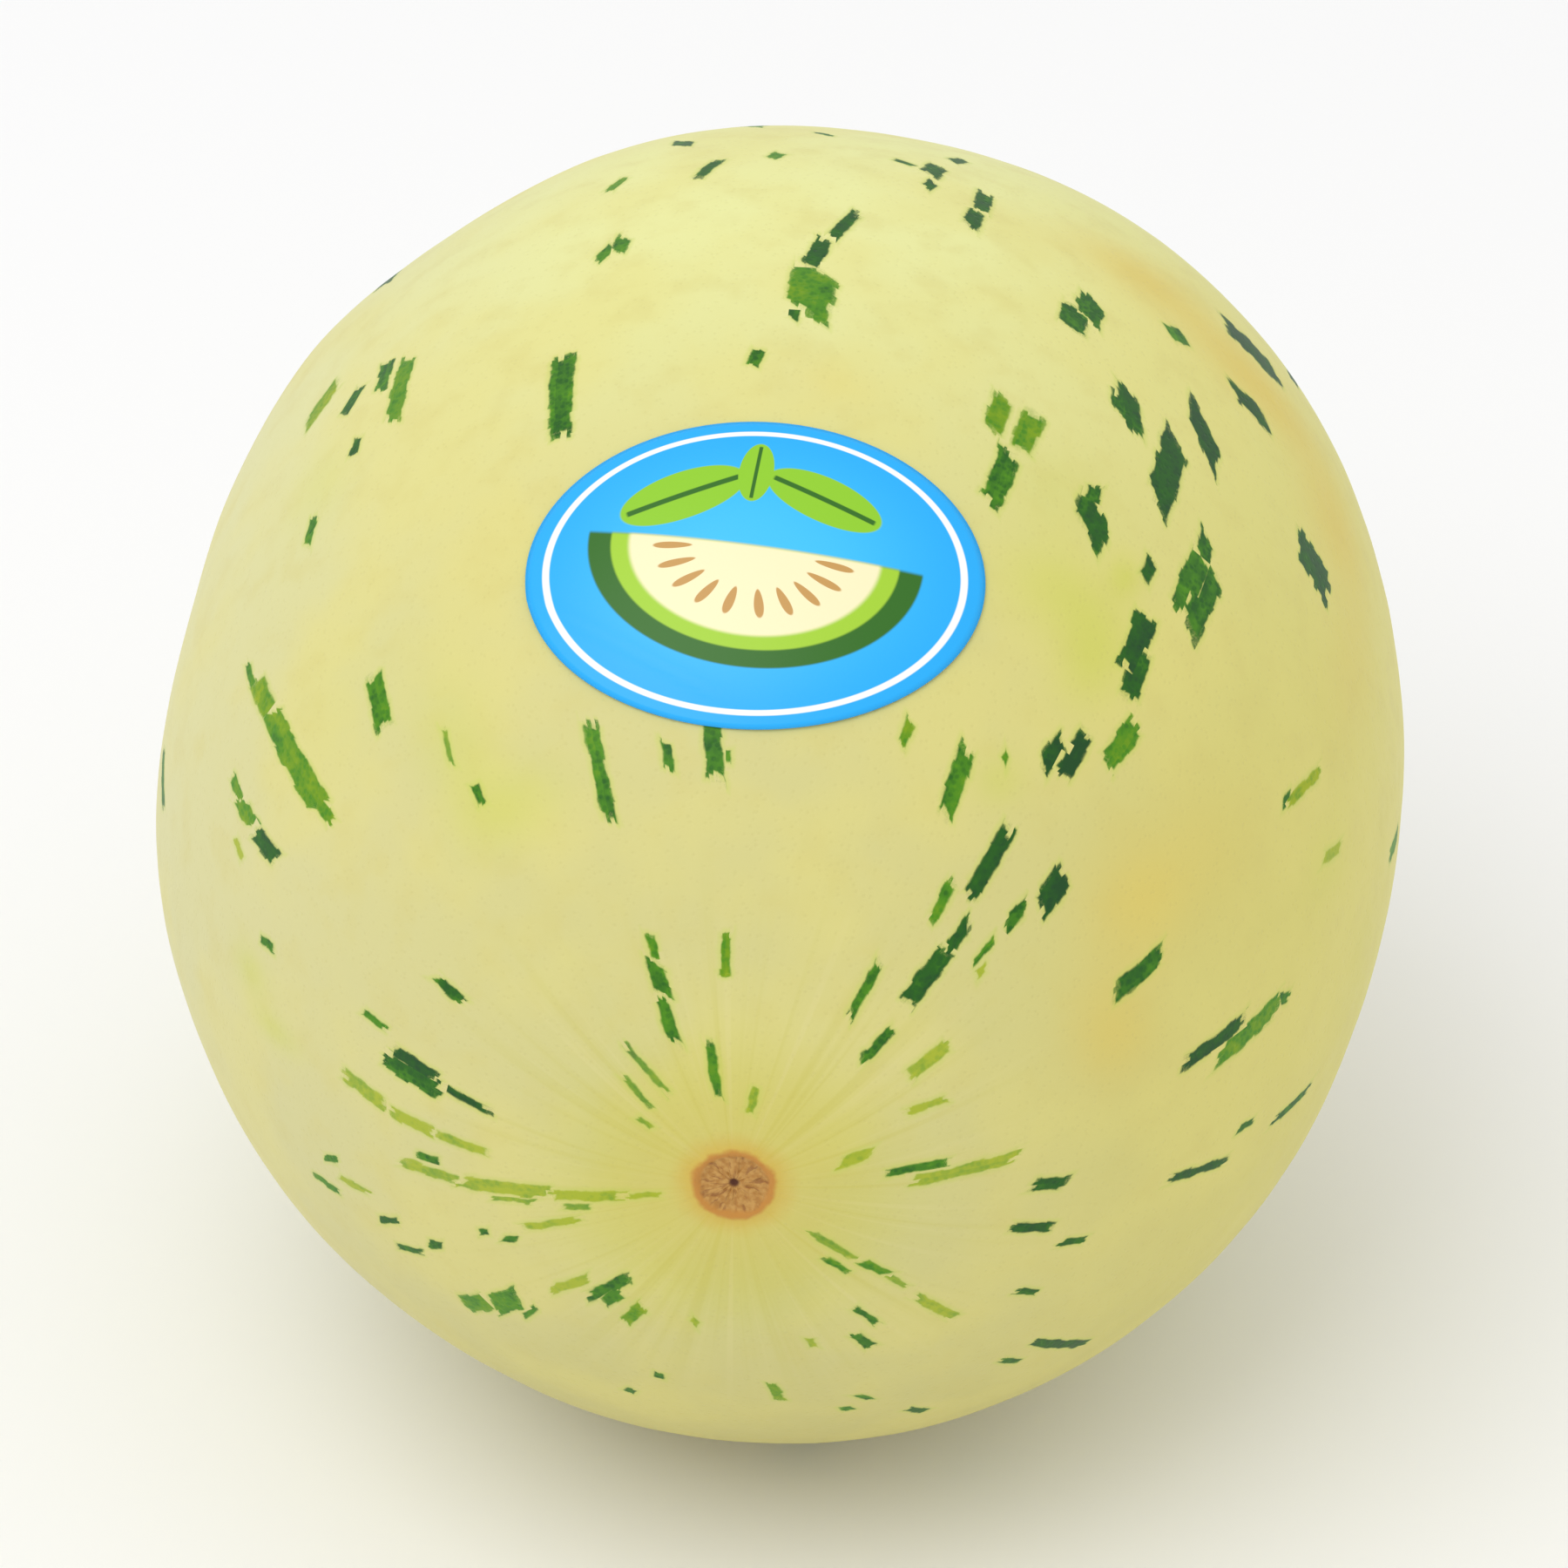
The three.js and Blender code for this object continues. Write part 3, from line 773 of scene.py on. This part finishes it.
def print_slice(shader, colour, place):
    """A cut half of a melon: dark rind, lime band, cream flesh and a row of seeds."""
    inside = shader.in_oval(place, (0, 2), (18, 13.5), -6)
    x, y = shader.parts(inside)[:2]
    reach = shader.reach(inside)
    half = shader.step(y, 0.02, -0.02)
    colour = shader.mix(shader.math("MULTIPLY", shader.step(reach, 1.0, 0.98), half), colour,
            srgb(45, 105, 20))
    colour = shader.mix(shader.math("MULTIPLY", shader.step(reach, 0.86, 0.84), half), colour,
            srgb(160, 205, 50))
    colour = shader.mix(shader.math("MULTIPLY", shader.step(reach, 0.76, 0.72), half), colour,
            srgb(246, 236, 190))
    turn = shader.math("MULTIPLY", shader.math("ARCTAN2", x, y), 3.2)
    gap = shader.math("ABSOLUTE", shader.math("SUBTRACT", shader.math("FRACT", turn), 0.5))
    seed = shader.joined(gap, shader.math("MULTIPLY", shader.math("SUBTRACT", reach, 0.48), 1.6), 0)
    seeds = shader.math("MULTIPLY", shader.step(shader.reach(seed), 0.2, 0.17), half)
    return shader.mix(seeds, colour, srgb(196, 150, 84))


def print_leaf(shader, colour, place, middle, radii, turn):
    inside = shader.in_oval(place, middle, radii, turn)
    colour = shader.mix(shader.step(shader.reach(inside), 1.0, 0.95), colour, srgb(140, 200, 40))
    vein = shader.math("ABSOLUTE", shader.parts(inside)[1])
    vein_share = shader.math("MULTIPLY", shader.step(vein, 0.13, 0.08),
            shader.step(shader.reach(inside), 0.9, 0.85))
    return shader.mix(vein_share, colour, srgb(45, 105, 20))


def label_material():
    shader = Shader("printed_label")
    place = shader.stored("print_place")
    edge = shader.reach(shader.in_oval(place, (0, 0), (LABEL_HALF_WIDTH, LABEL_HALF_HEIGHT)))
    colour = shader.mix(shader.step(edge, 0.2, 1.0), srgb(60, 190, 250), srgb(30, 170, 245))
    colour = print_slice(shader, colour, place)
    colour = print_leaf(shader, colour, place, (-8, 8), (7.2, 3), 22)
    colour = print_leaf(shader, colour, place, (7, 8), (6.8, 2.8), -24)
    colour = print_leaf(shader, colour, place, (-0.4, 11), (3.8, 1.9), 84)
    line = shader.math("ABSOLUTE", shader.math("SUBTRACT", edge, 0.905))
    colour = shader.mix(shader.step(line, 0.02, 0.012), colour, srgb(250, 250, 245))
    fibre = shader.noise(place, 2.2, 3)["Fac"]
    shader.bump(fibre, 0.01 * MM)
    return shader.finish(colour, 0.38, Specular_IOR_Level=0.4)


def stub_material():
    shader = Shader("dried_stem")
    place = shader.millimetres()
    fibres = shader.noise(shader.vector("MULTIPLY", place, (1, 0.12, 1)), 2.4, 5)["Fac"]
    patches = shader.noise(place, 0.5, 2)["Fac"]
    colour = shader.ramp(fibres, (0.3, srgb(96, 74, 44)), (0.5, srgb(160, 134, 84)),
            (0.7, srgb(204, 184, 130)))
    colour = shader.mix(shader.math("MULTIPLY", shader.step(patches, 0.45, 0.7), 0.4), colour,
            srgb(150, 150, 80))
    shader.bump(fibres, 0.25 * MM)
    return shader.finish(colour, 0.8)


# ---- Stage ----

def make_camera():
    data = bpy.data.cameras.new("camera")
    data.lens = VIEW_LENS
    camera = bpy.data.objects.new("camera", data)
    azimuth, elevation = math.radians(VIEW_AZIMUTH), math.radians(VIEW_ELEVATION)
    back = Vector((math.sin(azimuth) * math.cos(elevation), -math.cos(azimuth) * math.cos(elevation),
                   math.sin(elevation)))
    camera.location = CENTRE + back * VIEW_DISTANCE
    camera.rotation_euler = (-back).to_track_quat("-Z", "Y").to_euler()
    bpy.context.scene.collection.objects.link(camera)
    bpy.context.scene.camera = camera


def make_light(name, place, size, power):
    data = bpy.data.lights.new(name, "AREA")
    data.size, data.energy = size, power
    light = bpy.data.objects.new(name, data)
    light.location = place
    light.rotation_euler = (CENTRE - Vector(place)).to_track_quat("-Z", "Y").to_euler()
    bpy.context.scene.collection.objects.link(light)


def make_floor():
    half = FLOOR_HALF_SIZE
    mesh = bpy.data.meshes.new("floor")
    mesh.from_pydata([(-half, -half, 0), (half, -half, 0), (half, half, 0), (-half, half, 0)], [],
            [(0, 1, 2, 3)])
    floor = bpy.data.objects.new("floor", mesh)
    bpy.context.scene.collection.objects.link(floor)
    shader = Shader("pale_floor")
    mesh.materials.append(shader.finish((0.93, 0.93, 0.93, 1), 0.9))


def make_world():
    world = bpy.data.worlds.new("studio")
    world.use_nodes = True
    background = world.node_tree.nodes["Background"]
    background.inputs["Color"].default_value = (1, 1, 1, 1)
    background.inputs["Strength"].default_value = WORLD_STRENGTH
    bpy.context.scene.world = world


def dress(piece, material, node):
    """Gives a piece its material and ties it to the frame."""
    piece.data.materials.append(material)
    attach(piece, "root")
    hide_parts(node)


make_camera()
make_light("key", KEY_PLACE, KEY_SIZE, KEY_POWER)
make_world()
make_floor()
bpy.context.scene.view_settings.view_transform = "Standard"

dress(rind_piece(), rind_material(), "melon_fruit")
dress(stub_piece(), stub_material(), "stem_stub")
dress(label_piece(), label_material(), "oval_label")
